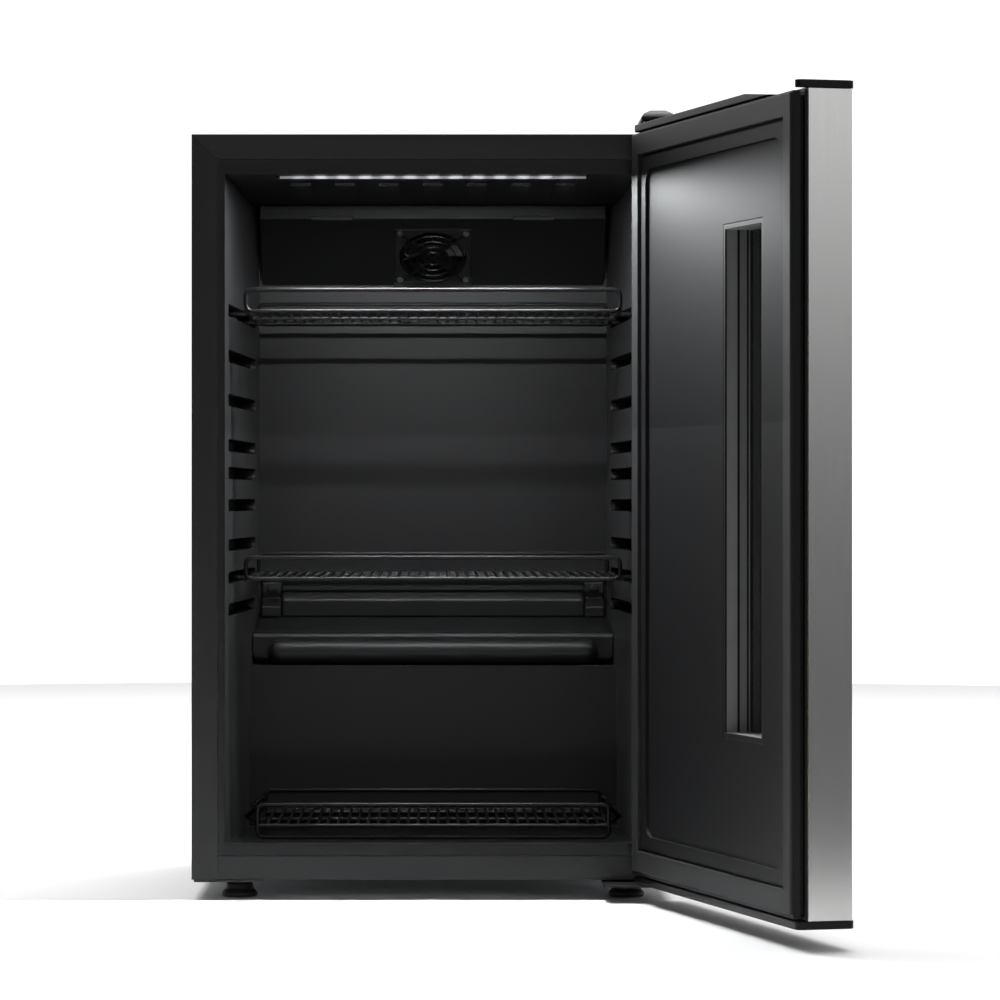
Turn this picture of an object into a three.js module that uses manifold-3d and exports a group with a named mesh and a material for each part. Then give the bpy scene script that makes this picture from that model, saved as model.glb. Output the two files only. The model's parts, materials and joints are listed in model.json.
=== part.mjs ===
// Compact fridge with a stainless door, a narrow window, wire shelves and a fan-cooled cabinet.
// Units are millimetres. +Z is up, the cabinet's front faces -Y and its hinges are on the +X side.
// The model is drawn with Z = 0 on the floor and Y = 0 on the cabinet's front plane, and is shifted at the
// end so that its origin is the middle of its base.
import * as THREE from 'three';
import { mergeVertices } from 'three/addons/utils/BufferGeometryUtils.js';
import Module from 'manifold-3d';

// ---------------------------------------------------------------- driving dimensions
const gap = 0.3; // between pieces that touch
const sheet = 1.2; // steel sheet
const cabinetWidth = 480;
const cabinetDepth = 440;
const cabinetHeight = 741;
const footHeight = 20; // floor to the cabinet's underside
const stileWidth = 25.8; // front flange of the shell, at the sides
const headWidth = 24.8; // front flange of the shell, at the top
const railHeight = 23.8; // rail under the opening
const linerWall = 2.5;
const jambWidth = 7.3; // liner flange beside the opening
const lintelHeight = 14.8; // liner flange above the opening
const sillHeight = 12.5; // liner flange below the opening
const backWall = 44.5; // liner's back face to the cabinet's back
const wallDraft = 18; // how much nearer each side wall stands at the back
const ceilingDrop = 9; // how much lower the ceiling is at the back
const lipHeight = 3; // front lip above the compartment floor
const humpHeight = 169; // compressor hump above the floor
const humpDepth = 124.5; // hump front face to the back wall
const bayWall = 24; // hump and foam in front of the compressor bay
const slotHeight = 12.4;
const slotDepth = 5.3; // beyond the wall's front edge
const slotFront = 38;
const slotStop = 50.5; // slot's blind end to the compartment's back
const slotRises = [366, 320.3, 275.9, 230.2, 202.5, 169.8, 129.5, 96.9, 64.5]; // above the hump
const slotSpan = 499.1; // height between hump and ceiling that the rises are given for
const shelfSlots = [0, 7]; // which slots hold the two shelves
const ribCount = 7;
const ribWidth = 20;
const ribDrop = 3;
const ribInset = 72.8; // jamb to the outermost rib's middle
const ribFront = 88;
const ribStop = 98; // ribs' back ends to the sloped panel
const lightInset = 54.4; // jamb to the light's end
const fanSize = 80;
const fanDepth = 20;
const fanBore = fanSize - 7;
const slantRun = fanSize - 8.5; // sloped panel: its top edge to the compartment's back
const slantTopDrop = 22.8; // ceiling edge to the panel's top edge
const slantBottomDrop = fanSize + 10.4;
const panelSheet = 2;
const wire = 3; // floor wires of a shelf
const rail = 4.4; // frame wires of a shelf
const shelfSideClear = 18.9; // jamb to the shelf's frame
const shelfFront = 45;
const shelfBackClear = 30.5;
const shelfFence = 21.5;
const runnerFront = 125;
const runnerClear = 3.4; // runner wire to the slot's bottom
const wirePitch = 20.6;
const rackSideClear = 30.4;
const rackFlare = 13;
const rackFront = 45;
const rackBackClear = 11; // rack to the hump's front face
const doorThickness = 57.2; // cabinet front plane to the door skin
const doorSideClear = 1; // how far the door stops short of the cabinet's side
const doorBottomRise = 6; // cabinet's underside to the bottom cap
const capHeight = 7.2;
const capDepth = 54.9;
const capOverhang = 3;
const skinReturn = 40.9; // how far the skin wraps round the door's sides
const gasketGap = 0.8; // gasket to the cabinet front with the door shut
const gasketThickness = 6;
const gasketProud = 2.3; // gasket above the panel it is set into
const gasketSide = 20;
const gasketEnd = 20.5;
const gasketInset = 4.5; // door side to the gasket
const gasketBevel = 1.4;
const windowInset = 97.2; // cabinet's free side to the window
const windowWidth = 112;
const windowRise = 151; // above the bottom cap
const windowDrop = 108; // below the top cap
const windowFrame = 5;
const glass = 3;
const innerPaneDepth = 15.9; // inner panel to the back of the inner pane
const outerPaneDepth = 27.6;
const hingeInset = 17; // cabinet side to the hinge axis
const hingeSetback = 27; // cabinet front plane to the hinge axis
const hingePin = 4; // radius
const hingePlate = 2.4;
const pinClear = 0.2;
const doorOpen = 104.8; // degrees
const footInset = 46;
const footFrontY = 42;
const footBackY = cabinetDepth - footFrontY;
const footRadius = 18;

const cabinetTop = footHeight + cabinetHeight;
const halfWidth = cabinetWidth / 2;
const linerDepth = cabinetDepth - backWall;
const openingHalf = halfWidth - stileWidth - jambWidth;
const openingTop = cabinetTop - headWidth - lintelHeight;
const openingBottom = footHeight + railHeight + sillHeight;
const floorZ = openingBottom - lipHeight;
const humpTop = floorZ + humpHeight;
const humpFront = linerDepth - humpDepth;
const slotBottomX = openingHalf + slotDepth;
const slotBack = linerDepth - slotStop;
const stretch = (openingTop - humpTop) / slotSpan;
const slotLevels = slotRises.map((rise) => humpTop + rise * stretch);
const ribPitch = (openingHalf - ribInset) / ((ribCount - 1) / 2);
const lightLength = 2 * (openingHalf - lightInset);
const slantTopY = linerDepth - slantRun;
const slantTopZ = openingTop - slantTopDrop;
const slantBottomZ = openingTop - slantBottomDrop;
const shelfHalfWidth = openingHalf - shelfSideClear;
const shelfBack = linerDepth - shelfBackClear;
const rackHalfWidth = openingHalf - rackSideClear;
const rackBack = humpFront - rackBackClear;
const doorTopZ = cabinetTop; // underside of the top cap
const doorBottomZ = footHeight + doorBottomRise; // top of the bottom cap
const windowLeft = windowInset - halfWidth;
const windowRight = windowLeft + windowWidth;
const windowBottom = doorBottomZ + windowRise;
const windowTop = doorTopZ - windowDrop;
const hingeX = halfWidth - hingeInset;
const rad = THREE.MathUtils.degToRad;

// ---------------------------------------------------------------- solids
const wasm = await Module();
wasm.setup();

// A manifold solid from a three.js geometry.
function solid(geometry) {
  geometry.deleteAttribute('normal');
  geometry.deleteAttribute('uv');
  const merged = mergeVertices(geometry, 1e-4);
  return new wasm.Manifold(new wasm.Mesh({
    numProp: 3,
    vertProperties: new Float32Array(merged.attributes.position.array),
    triVerts: new Uint32Array(merged.index.array),
  }));
}

// A three.js geometry from a manifold solid.
function geometryOf(body) {
  const mesh = body.getMesh();
  const geometry = new THREE.BufferGeometry();
  geometry.setAttribute('position', new THREE.BufferAttribute(mesh.vertProperties, 3));
  geometry.setIndex(new THREE.BufferAttribute(mesh.triVerts, 1));
  return geometry;
}

// A box between two corners.
function box(x0, x1, y0, y1, z0, z1) {
  const geometry = new THREE.BoxGeometry(x1 - x0, y1 - y0, z1 - z0);
  return solid(geometry.translate((x0 + x1) / 2, (y0 + y1) / 2, (z0 + z1) / 2));
}

function shapeOf(points) {
  return new THREE.Shape(points.map(([a, b]) => new THREE.Vector2(a, b)));
}

// Outline in X and Y, extruded up from z0 to z1.
function upright(points, z0, z1) {
  const geometry = new THREE.ExtrudeGeometry(shapeOf(points), { depth: z1 - z0, bevelEnabled: false });
  return solid(geometry.translate(0, 0, z0));
}

// Outline in Y and Z, extruded along X from x0 to x1.
function across(points, x0, x1) {
  const geometry = new THREE.ExtrudeGeometry(shapeOf(points), { depth: x1 - x0, bevelEnabled: false });
  geometry.applyMatrix4(new THREE.Matrix4().set(0, 0, 1, x0, 1, 0, 0, 0, 0, 1, 0, 0, 0, 0, 0, 1));
  return solid(geometry);
}

// Outline in X and Z, extruded along Y from y0 to y1.
function along(points, y0, y1) {
  const flipped = points.map(([x, z]) => [-x, z]);
  const geometry = new THREE.ExtrudeGeometry(shapeOf(flipped), { depth: y1 - y0, bevelEnabled: false });
  geometry.rotateX(Math.PI / 2).rotateZ(Math.PI).translate(0, y0, 0);
  return solid(geometry);
}

// A rounded rectangle's outline, with corners of n steps.
function rounded(a0, a1, b0, b1, radius, n = 3) {
  const points = [];
  const corners = [[a1, b0, -90], [a1, b1, 0], [a0, b1, 90], [a0, b0, 180]];
  for (const [a, b, start] of corners) {
    const ca = a === a1 ? a - radius : a + radius;
    const cb = b === b1 ? b - radius : b + radius;
    for (let i = 0; i <= n; i += 1) {
      const t = rad(start + (90 * i) / n);
      points.push([ca + radius * Math.cos(t), cb + radius * Math.sin(t)]);
    }
  }
  return points;
}

// A closed outline moved outwards by a distance, for outlines that run anticlockwise.
function grown(points, distance) {
  const n = points.length;
  return points.map((p, i) => {
    const before = points[(i + n - 1) % n];
    const after = points[(i + 1) % n];
    const d1 = new THREE.Vector2(p[0] - before[0], p[1] - before[1]).normalize();
    const d2 = new THREE.Vector2(after[0] - p[0], after[1] - p[1]).normalize();
    const n1 = new THREE.Vector2(d1.y, -d1.x);
    const n2 = new THREE.Vector2(d2.y, -d2.x);
    const k = distance / (1 + n1.dot(n2));
    return [p[0] + (n1.x + n2.x) * k, p[1] + (n1.y + n2.y) * k];
  });
}

// An upright cylinder about (x, y).
function post(x, y, radius, z0, z1, sides = 16) {
  const geometry = new THREE.CylinderGeometry(radius, radius, z1 - z0, sides);
  return solid(geometry.rotateX(Math.PI / 2).translate(x, y, (z0 + z1) / 2));
}

// A straight wire of a given thickness between two points.
function bar(from, to, thickness, sides = 6) {
  const a = new THREE.Vector3(...from);
  const b = new THREE.Vector3(...to);
  const length = a.distanceTo(b);
  const geometry = new THREE.CylinderGeometry(thickness / 2, thickness / 2, length, sides);
  const turn = new THREE.Quaternion();
  turn.setFromUnitVectors(new THREE.Vector3(0, 1, 0), b.clone().sub(a).divideScalar(length));
  geometry.applyQuaternion(turn);
  const middle = a.add(b).multiplyScalar(0.5);
  return solid(geometry.translate(middle.x, middle.y, middle.z));
}

// A bent wire through points, with its bends on small chords.
function bentWire(points, thickness, closed = false, sides = 6) {
  const path = new THREE.CurvePath();
  const nodes = points.map((p) => new THREE.Vector3(...p));
  const last = closed ? nodes.length : nodes.length - 1;
  for (let i = 0; i < last; i += 1) {
    path.add(new THREE.LineCurve3(nodes[i], nodes[(i + 1) % nodes.length]));
  }
  const parts = path.curves.map((c) => bar(c.v1.toArray(), c.v2.toArray(), thickness, sides));
  const joints = (closed ? nodes : nodes.slice(1, -1)).map((p) => {
    const ball = new THREE.IcosahedronGeometry(thickness * 0.53, 0);
    return solid(ball.translate(p.x, p.y, p.z));
  });
  return join([...parts, ...joints]);
}

function join(parts) {
  return parts.reduce((whole, part) => whole.add(part));
}

// ---------------------------------------------------------------- materials and nodes
const looks = {
  blackSteel: { color: 0x232325, roughness: 0.42, metalness: 0.3 },
  blackPlastic: { color: 0x1c1c1e, roughness: 0.5, metalness: 0 },
  greyGasket: { color: 0x2b2b2d, roughness: 0.65, metalness: 0 },
  stainless: { color: 0xb9b9b8, roughness: 0.32, metalness: 1 },
  zinc: { color: 0x8d8f92, roughness: 0.4, metalness: 1 },
  wire: { color: 0x18181a, roughness: 0.25, metalness: 0.4 },
  foam: { color: 0xd9c89a, roughness: 0.95, metalness: 0 },
  glass: { color: 0x20262a, roughness: 0.05, metalness: 0 },
  light: { color: 0xf4f8ff, roughness: 0.4, metalness: 0 },
  rubber: { color: 0x151516, roughness: 0.7, metalness: 0 },
};

const model = new THREE.Group();
const door = new THREE.Group();
door.position.set(hingeX, -hingeSetback, 0);
door.rotation.z = rad(doorOpen);
model.add(door);

function place(name, body, look, parent = model) {
  const mesh = new THREE.Mesh(geometryOf(body), new THREE.MeshStandardMaterial(looks[look]));
  mesh.name = name;
  parent.add(mesh);
  return mesh;
}

// ---------------------------------------------------------------- compartment outline
// The hollow inside the liner: a side view crossed with a plan view, so that the walls draw in.
const wayOut = 30; // how far the cutting outlines run out of the front
const sideView = [
  [-wayOut, openingBottom], [10, openingBottom], [16, floorZ], [humpFront, floorZ], [humpFront, humpTop],
  [linerDepth, humpTop], [linerDepth, openingTop - ceilingDrop], [0, openingTop], [-wayOut, openingTop],
];
const planView = [
  [-openingHalf, 0], [-openingHalf, -wayOut], [openingHalf, -wayOut], [openingHalf, 0],
  [openingHalf - wallDraft, linerDepth], [wallDraft - openingHalf, linerDepth],
];
const wide = halfWidth + 50;

function hollow(distance) {
  const side = across(grown(sideView, distance), -wide, wide);
  const plan = upright(grown(planView, distance), -50, cabinetTop + 50);
  return side.intersect(plan);
}

function slots(distance, corner) {
  const half = slotHeight / 2 + distance;
  const reach = slotBottomX + distance;
  return join(slotLevels.map((z) => {
    const ends = [slotFront - distance, slotBack + distance];
    const outline = corner ? rounded(ends[0], ends[1], z - half, z + half, corner) : [
      [ends[0], z - half], [ends[1], z - half], [ends[1], z + half], [ends[0], z + half],
    ];
    return across(outline, -reach, reach);
  }));
}

// Room behind the sloped panel for the fan's lower edge, sunk into the back wall.
function fanPocket(distance) {
  const half = fanSize / 2 + 4 + distance;
  return box(-half, half, linerDepth - 20, linerDepth + 14 + distance, slantBottomZ + 5 - distance,
    slantTopZ + 8 + distance);
}

function cavity(distance, corner) {
  return join([hollow(distance), slots(distance, corner), fanPocket(distance)]);
}

// ---------------------------------------------------------------- cabinet
const stileInner = halfWidth - stileWidth;
const backY = cabinetDepth;
const bayTop = humpTop - bayWall - linerWall;
const bayFront = humpFront + bayWall + linerWall;
const bayHalf = halfWidth - 25;
const feet = [
  [-halfWidth + footInset, footFrontY], [halfWidth - footInset, footFrontY],
  [-halfWidth + footInset, footBackY], [halfWidth - footInset, footBackY],
];
const studRadius = 5;
const studRise = 18;

function outerShell() {
  const wrap = box(-halfWidth, halfWidth, 0, backY, footHeight, cabinetTop);
  const inside = box(-halfWidth + sheet, halfWidth - sheet, sheet, backY + 1, footHeight - 1, cabinetTop - sheet);
  const mouth = box(-stileInner, stileInner, -1, sheet + 1, footHeight - 1, cabinetTop - headWidth);
  const seam = 0.5;
  const mitres = [-1, 1].map((side) => along([
    [side * (stileInner - 1), cabinetTop - headWidth - 1 - seam],
    [side * (halfWidth - 1.5), cabinetTop - 1.5 - seam],
    [side * (halfWidth - 1.5), cabinetTop - 1.5],
    [side * (stileInner - 1), cabinetTop - headWidth - 1],
  ], -1, sheet * 0.6));
  return wrap.subtract(inside).subtract(mouth).subtract(mitres[0]).subtract(mitres[1]);
}

function innerLiner() {
  const flangeHalf = stileInner - gap;
  const flange = box(-flangeHalf, flangeHalf, 0, linerWall, openingBottom - sillHeight + gap,
    cabinetTop - headWidth - gap);
  const front = box(-wide, wide, 0, cabinetDepth, 0, cabinetTop);
  const skin = cavity(linerWall, 0).intersect(front);
  const ribs = [];
  for (let i = 0; i < ribCount; i += 1) {
    const x = (i - (ribCount - 1) / 2) * ribPitch;
    const slope = ceilingDrop / linerDepth;
    const [y0, y1] = [ribFront, slantTopY - ribStop];
    ribs.push(across([
      [y0, openingTop - slope * y0 + 1], [y0 + 3, openingTop - slope * y0 - ribDrop],
      [y1, openingTop - slope * y1 - ribDrop], [y1 + 6, openingTop - slope * y1 + 1],
    ], x - ribWidth / 2, x + ribWidth / 2));
  }
  return skin.add(flange).subtract(cavity(0, slotHeight / 2 - 0.6)).add(join(ribs));
}

function foamCore() {
  const block = box(-halfWidth + sheet + gap, halfWidth - sheet - gap, linerWall + gap, backY - gap,
    footHeight + sheet + gap, cabinetTop - sheet - gap);
  const bay = box(-bayHalf, bayHalf, bayFront, backY + 1, 0, bayTop);
  let core = block.subtract(cavity(linerWall + gap, 0)).subtract(bay);
  for (const [x, y] of feet) {
    core = core.subtract(post(x, y, studRadius + gap, 0, footHeight + studRise + gap, 12));
  }
  return core;
}

function bottomPan() {
  let pan = box(-halfWidth + sheet + gap, halfWidth - sheet - gap, sheet + gap, backY - gap,
    footHeight, footHeight + sheet);
  for (const [x, y] of feet) {
    pan = pan.subtract(post(x, y, studRadius + gap, 0, footHeight * 2, 12));
  }
  return pan;
}

place('outer_shell', outerShell(), 'blackSteel');
place('inner_liner', innerLiner(), 'blackPlastic');
place('insulation_foam', foamCore(), 'foam');
place('bottom_pan', bottomPan(), 'blackSteel');
place('front_rail', box(-stileInner + gap, stileInner - gap, 0, sheet, footHeight,
  footHeight + railHeight), 'blackSteel');
place('back_panel', box(-halfWidth, halfWidth, backY + gap, backY + gap + sheet, bayTop, cabinetTop),
  'blackSteel');

// ---------------------------------------------------------------- feet
function foot(x, y) {
  const neck = 8;
  const profile = [
    [0, 0], [footRadius - 1, 0], [footRadius, 1.5], [footRadius, 4.5], [14.5, 8], [13.6, 13], [neck + 2, 15.6],
    [neck, 16], [neck, footHeight - gap], [studRadius, footHeight - gap],
    [studRadius, footHeight + studRise], [0, footHeight + studRise],
  ].map(([r, z]) => new THREE.Vector2(r, z));
  return solid(new THREE.LatheGeometry(profile, 16).rotateX(Math.PI / 2)).translate([x, y, 0]);
}

feet.forEach(([x, y], i) => place(`foot_${i + 1}`, foot(x, y), 'rubber'));

// ---------------------------------------------------------------- hinges
const capTop = doorTopZ + capHeight;
const capBottom = doorBottomZ - capHeight;
const lowerPlateTop = capBottom - 1;
const upperPlateBottom = capTop + 0.6;
const pinReach = 20; // how far each pin stands into the door
const plateInner = halfWidth - 72;
const screwX = halfWidth - 40;

function lowerHinge() {
  const z0 = lowerPlateTop - hingePlate;
  const outline = rounded(plateInner, halfWidth - 4, -hingeSetback - 9, 62, 5);
  const step = box(plateInner + 8, halfWidth - 8, 66 - 14, 62, z0 + 1, footHeight - gap);
  const clear = post(halfWidth - footInset, footFrontY, footRadius + 1, -5, footHeight + 5, 20);
  const screw = post(screwX, -6, 4, z0 - 2.2, z0 + 0.5, 10);
  return upright(outline, z0, lowerPlateTop).add(step).subtract(clear).add(screw)
    .add(post(hingeX, -hingeSetback, hingePin, z0 + 1, capBottom + pinReach, 16));
}

function upperHinge() {
  const z1 = upperPlateBottom + hingePlate;
  const outline = rounded(hingeX - 15, halfWidth - 4, -hingeSetback - 8, 34, 5);
  const base = box(hingeX - 15, halfWidth - 4, 2, 34, cabinetTop + gap, upperPlateBottom + 1);
  return upright(outline, upperPlateBottom, z1).add(base)
    .add(post(hingeX, -hingeSetback, hingePin, capTop - pinReach, z1 - 1, 16));
}

const coverHeight = 10.7;

function hingeCover() {
  const z0 = upperPlateBottom + hingePlate + gap;
  const [x0, x1, y0, y1] = [hingeX - 17.5, halfWidth - 1, -hingeSetback - 11, 37];
  const top = z0 + coverHeight;
  const side = [[y0, z0], [y1, z0], [y1, z0 + 3], [y1 - 6, top - 3], [y1 - 14, top], [y0 + 12, top],
    [y0 + 3, top - 4], [y0, z0 + 3]];
  const front = [[x0, z0], [x1, z0], [x1, z0 + 4], [x1 - 3, top - 3], [x1 - 9, top], [x0 + 9, top],
    [x0 + 3, top - 3], [x0, z0 + 4]];
  return across(side, x0, x1).intersect(along(front, y0, y1));
}

function basePlate() {
  return upright(rounded(-halfWidth + 2, -plateInner, -1, 62, 4), footHeight - gap - 2, footHeight - gap)
    .subtract(post(-halfWidth + footInset, footFrontY, 9, 0, footHeight * 2, 16));
}

place('lower_hinge', lowerHinge(), 'zinc');
place('upper_hinge', upperHinge(), 'zinc');
place('hinge_cover', hingeCover(), 'blackPlastic');
place('base_plate', basePlate(), 'blackSteel');

// ---------------------------------------------------------------- light
const lightY = 8;
const lightTop = openingTop - (ceilingDrop / linerDepth) * 30 - gap;
place('light_diffuser', box(-lightLength / 2, lightLength / 2, lightY, lightY + 8, lightTop - 2.6, lightTop),
  'light');
place('light_housing', box(-lightLength / 2 - 4, lightLength / 2 + 4, lightY + 8 + gap, lightY + 20,
  lightTop - 3, lightTop), 'blackPlastic');

// ---------------------------------------------------------------- sloped air panel and fan
const slantEnd = linerDepth - 1;
const slope = new THREE.Vector2(slantEnd - slantTopY, slantBottomZ - slantTopZ);
const slantLength = slope.length();
const slantAngle = Math.atan2(slope.y, slope.x);
const fanAlong = 0.56 * slantLength; // fan centre down the slope
const airHalf = openingHalf - wallDraft - 4;
// Frame of the fan: x along the cabinet, y down the slope and z along its inward normal.
const fanFrame = new THREE.Matrix4().makeRotationX(slantAngle);
fanFrame.setPosition(0, slantTopY + Math.cos(slantAngle) * fanAlong, slantTopZ + Math.sin(slantAngle) * fanAlong);

function onSlope(body) {
  return body.transform(fanFrame.elements);
}

function airPanel() {
  const ceiling = openingTop - (ceilingDrop / linerDepth) * slantTopY - 1;
  const normal = [-Math.sin(slantAngle) * panelSheet, Math.cos(slantAngle) * panelSheet];
  const profile = [
    [slantTopY, slantTopZ], [slantEnd, slantBottomZ], [slantEnd, slantBottomZ + panelSheet * 1.4],
    [slantTopY + normal[0], slantTopZ + normal[1]], [slantTopY + panelSheet, ceiling], [slantTopY, ceiling],
  ];
  let body = across(profile, -airHalf, airHalf);
  for (const x of [-108, 108]) {
    body = body.subtract(box(x - 22, x + 22, slantTopY - 1, slantTopY + 1.2, slantTopZ - 4, slantTopZ + 3));
  }
  return body.subtract(onSlope(post(0, 0, fanBore / 2, -6, 6, 28)));
}

const bracketHalf = fanSize / 2 + 0.4;
const bracketSheet = 1.5;
const screwSpan = fanSize / 2 - 4.25; // fan screw to the fan's centre

// In that frame the pieces in front of the panel are below zero, and the fan behind it is above.
function fanBracket() {
  const plate = box(-bracketHalf, bracketHalf, -bracketHalf, bracketHalf - 2, -bracketSheet - gap, -gap);
  const lip = box(-bracketHalf - 2, bracketHalf + 2, bracketHalf - 9, bracketHalf - 2, -bracketSheet - 9, -gap);
  const lipCut = box(-bracketHalf - 4, bracketHalf + 4, bracketHalf - 10, bracketHalf - 4,
    -bracketSheet - 10, -bracketSheet - gap);
  let body = plate.add(lip.subtract(lipCut)).subtract(post(0, 0, fanBore / 2, -20, 6, 28));
  for (const [u, v] of fanScrews()) {
    body = body.subtract(post(u, v, 1.9, -20, 6, 8));
  }
  return onSlope(body);
}

function fanScrews() {
  return [[-screwSpan, -screwSpan], [screwSpan, -screwSpan], [-screwSpan, screwSpan - 4],
    [screwSpan, screwSpan - 4]];
}

const guardFront = -bracketSheet - gap * 2;
const guardWire = 1.8;

function fingerGuard() {
  const rings = [9, 17, 25, 33].map((r) => solid(
    new THREE.TorusGeometry(r, guardWire / 2, 4, 20).translate(0, 0, guardFront - guardWire),
  ));
  const arms = [[1, 1], [1, -1]].map(([a, b]) => {
    const end = screwSpan - 4;
    return bar([-a * end, -b * end, guardFront - guardWire], [a * end, b * end, guardFront - guardWire],
      guardWire + 0.3, 6);
  });
  return onSlope(join([...rings, ...arms]));
}

function fanHousing() {
  const half = fanSize / 2;
  const inner = panelSheet + gap;
  const depth = fanDepth;
  const frame = box(-half, half, -half, half - 2, inner, inner + depth)
    .subtract(post(0, 0, fanBore / 2, 0, 60, 28));
  const hub = post(0, 0, 14, inner + depth - 3, inner + depth, 16);
  const reach = fanBore / 2 - 5.5;
  const arms = [[1, 1], [1, -1]].map(([a, b]) => bar([-a * reach, -b * reach, inner + depth - 1.6],
    [a * reach, b * reach, inner + depth - 1.6], 3, 6));
  return onSlope(join([frame, hub, ...arms]));
}

function fanRotor() {
  const inner = panelSheet + gap;
  const depth = fanDepth;
  const hub = post(0, 0, 14, inner + 1, inner + depth - 3.6, 16);
  const blades = [];
  const count = 7;
  for (let i = 0; i < count; i += 1) {
    const blade = solid(new THREE.BoxGeometry(fanBore / 2 - 14, 1.6, 15));
    blades.push(blade.rotate([38, 0, 0]).translate([(fanBore / 2 + 10.6) / 2, 0, inner + depth / 2 - 1])
      .rotate([0, 0, (360 / count) * i]));
  }
  return onSlope(join([hub, ...blades]));
}

place('air_panel', airPanel(), 'blackPlastic');
place('fan_bracket', fanBracket(), 'blackSteel');
place('finger_guard', fingerGuard(), 'wire');
place('fan_housing', fanHousing(), 'blackPlastic');
place('fan_rotor', fanRotor(), 'blackPlastic');
fanScrews().forEach(([u, v], i) => {
  const head = post(u, v, 3.4, guardFront - 2.2, guardFront, 12).add(post(u, v, 1.5, guardFront - 1, -gap, 8));
  place(`bracket_screw_${i + 1}`, onSlope(head), 'zinc');
});

// ---------------------------------------------------------------- rear ledge, trough and blocks
const ledgeHalf = openingHalf - wallDraft - 3.5;
const ledgeFront = linerDepth - 90.2;
const ledgeTop = humpTop + 33.7;
const ledgeWide = openingHalf - (wallDraft / linerDepth) * ledgeFront - gap; // half width at its front
const ledgeBase = humpTop + gap;
const coverHalf = ledgeHalf - 21.9;
const backFace = linerDepth - gap;
const blockTop = humpTop + 86.7;
const troughRadius = 14;
const capRadius = 5.5;
const capZ = blockTop - 8;
const capX = ledgeHalf - 10.4;

function rearLedge() {
  const profile = [
    [ledgeFront + 5, ledgeBase], [backFace, ledgeBase], [backFace, ledgeTop + 17.4],
    [backFace - 24, ledgeTop + 14.1], [ledgeFront + 22, ledgeTop + 3], [ledgeFront + 3, ledgeTop],
    [ledgeFront, ledgeTop - 4], [ledgeFront, ledgeBase + 6],
  ];
  const plan = upright(grown(planView, -gap), 0, cabinetTop);
  const front = along(rounded(-ledgeWide, ledgeWide, ledgeBase, ledgeTop + 60, 13, 4), 200, backFace + 1);
  return across(profile, -wide, wide).intersect(plan).intersect(front);
}

function coilCover() {
  const low = ledgeTop + 16 + gap;
  return across([
    [backFace - 21, low - 1.5], [backFace, low + 1.6], [backFace, low + 33.7], [backFace - 6, low + 31.7],
    [backFace - 14, low + 25.7], [backFace - 21, low + 16.7],
  ], -coverHalf, coverHalf);
}

function sideBlock(side) {
  const inner = coverHalf + 1.2;
  const low = ledgeTop + 16 + gap;
  const body = across([
    [backFace - 24, low - 1.5], [backFace, low + 1.6], [backFace, blockTop], [backFace - 9, blockTop - 1],
    [backFace - 9, blockTop - 18], [backFace - 24, blockTop - 27],
  ], Math.min(side * inner, side * ledgeHalf), Math.max(side * inner, side * ledgeHalf));
  return body;
}

function screwCap(side) {
  const geometry = new THREE.CylinderGeometry(capRadius, capRadius - 1, 2, 14);
  return solid(geometry.translate(side * capX, backFace - 9 - gap - 1, capZ));
}

place('rear_ledge', rearLedge(), 'blackPlastic');
place('coil_cover', coilCover(), 'blackPlastic');
for (const [name, side] of [['left', -1], ['right', 1]]) {
  place(`side_block_${name}`, sideBlock(side), 'blackPlastic');
  place(`screw_cap_${name}`, screwCap(side), 'blackPlastic');
}
const trough = new THREE.CapsuleGeometry(troughRadius, 2 * (ledgeHalf - troughRadius - 9), 3, 14);
place('drip_trough', solid(trough.rotateZ(Math.PI / 2).translate(0, humpFront + troughRadius + 6,
  humpTop + troughRadius + gap)), 'blackPlastic');

// ---------------------------------------------------------------- compressor bay
const compressorY = (bayFront + backY) / 2 + 4;
const panTop = footHeight + sheet;

function compressor() {
  const profile = [[0, 0], [46, 0], [54, 8], [56, 45], [58, 48], [58, 52], [55, 56], [50, 88], [34, 108], [0, 114]]
    .map(([r, z]) => new THREE.Vector2(r, z));
  const dome = solid(new THREE.LatheGeometry(profile, 24).rotateX(Math.PI / 2)).translate([0, 0, 10]);
  const feetPlate = box(-72, 72, -30, 30, 6, 12);
  const pads = [[-62, -20], [62, -20], [-62, 20], [62, 20]].map(([x, y]) => post(x, y, 8, 0, 6.5, 10));
  return join([dome, feetPlate, ...pads]).translate([-60, compressorY, panTop + gap]);
}

function terminalBox() {
  return box(2, 34, compressorY - 26, compressorY + 26, panTop + 26, panTop + 88);
}

function powerInlet() {
  const body = box(120, 168, backY - 30, backY + 4, panTop + 30, panTop + 62);
  const mouth = box(126, 162, backY - 12, backY + 5, panTop + 35, panTop + 57);
  const bracket = box(124, 164, backY - 30, backY - 26, panTop + gap, panTop + 31);
  const pins = [-9, 0, 9].map((dx, i) => box(144 + dx - 2, 144 + dx + 2, backY - 13, backY - 1,
    panTop + (i === 1 ? 48 : 40), panTop + (i === 1 ? 53 : 45)));
  return join([body.subtract(mouth), bracket, ...pins]);
}

const coilTube = 5;
const coilRows = 9;
const coilLow = 275; // lowest row above the floor
const coilHalf = halfWidth - 45;
const coilY = backY + sheet + gap + 11;

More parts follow.
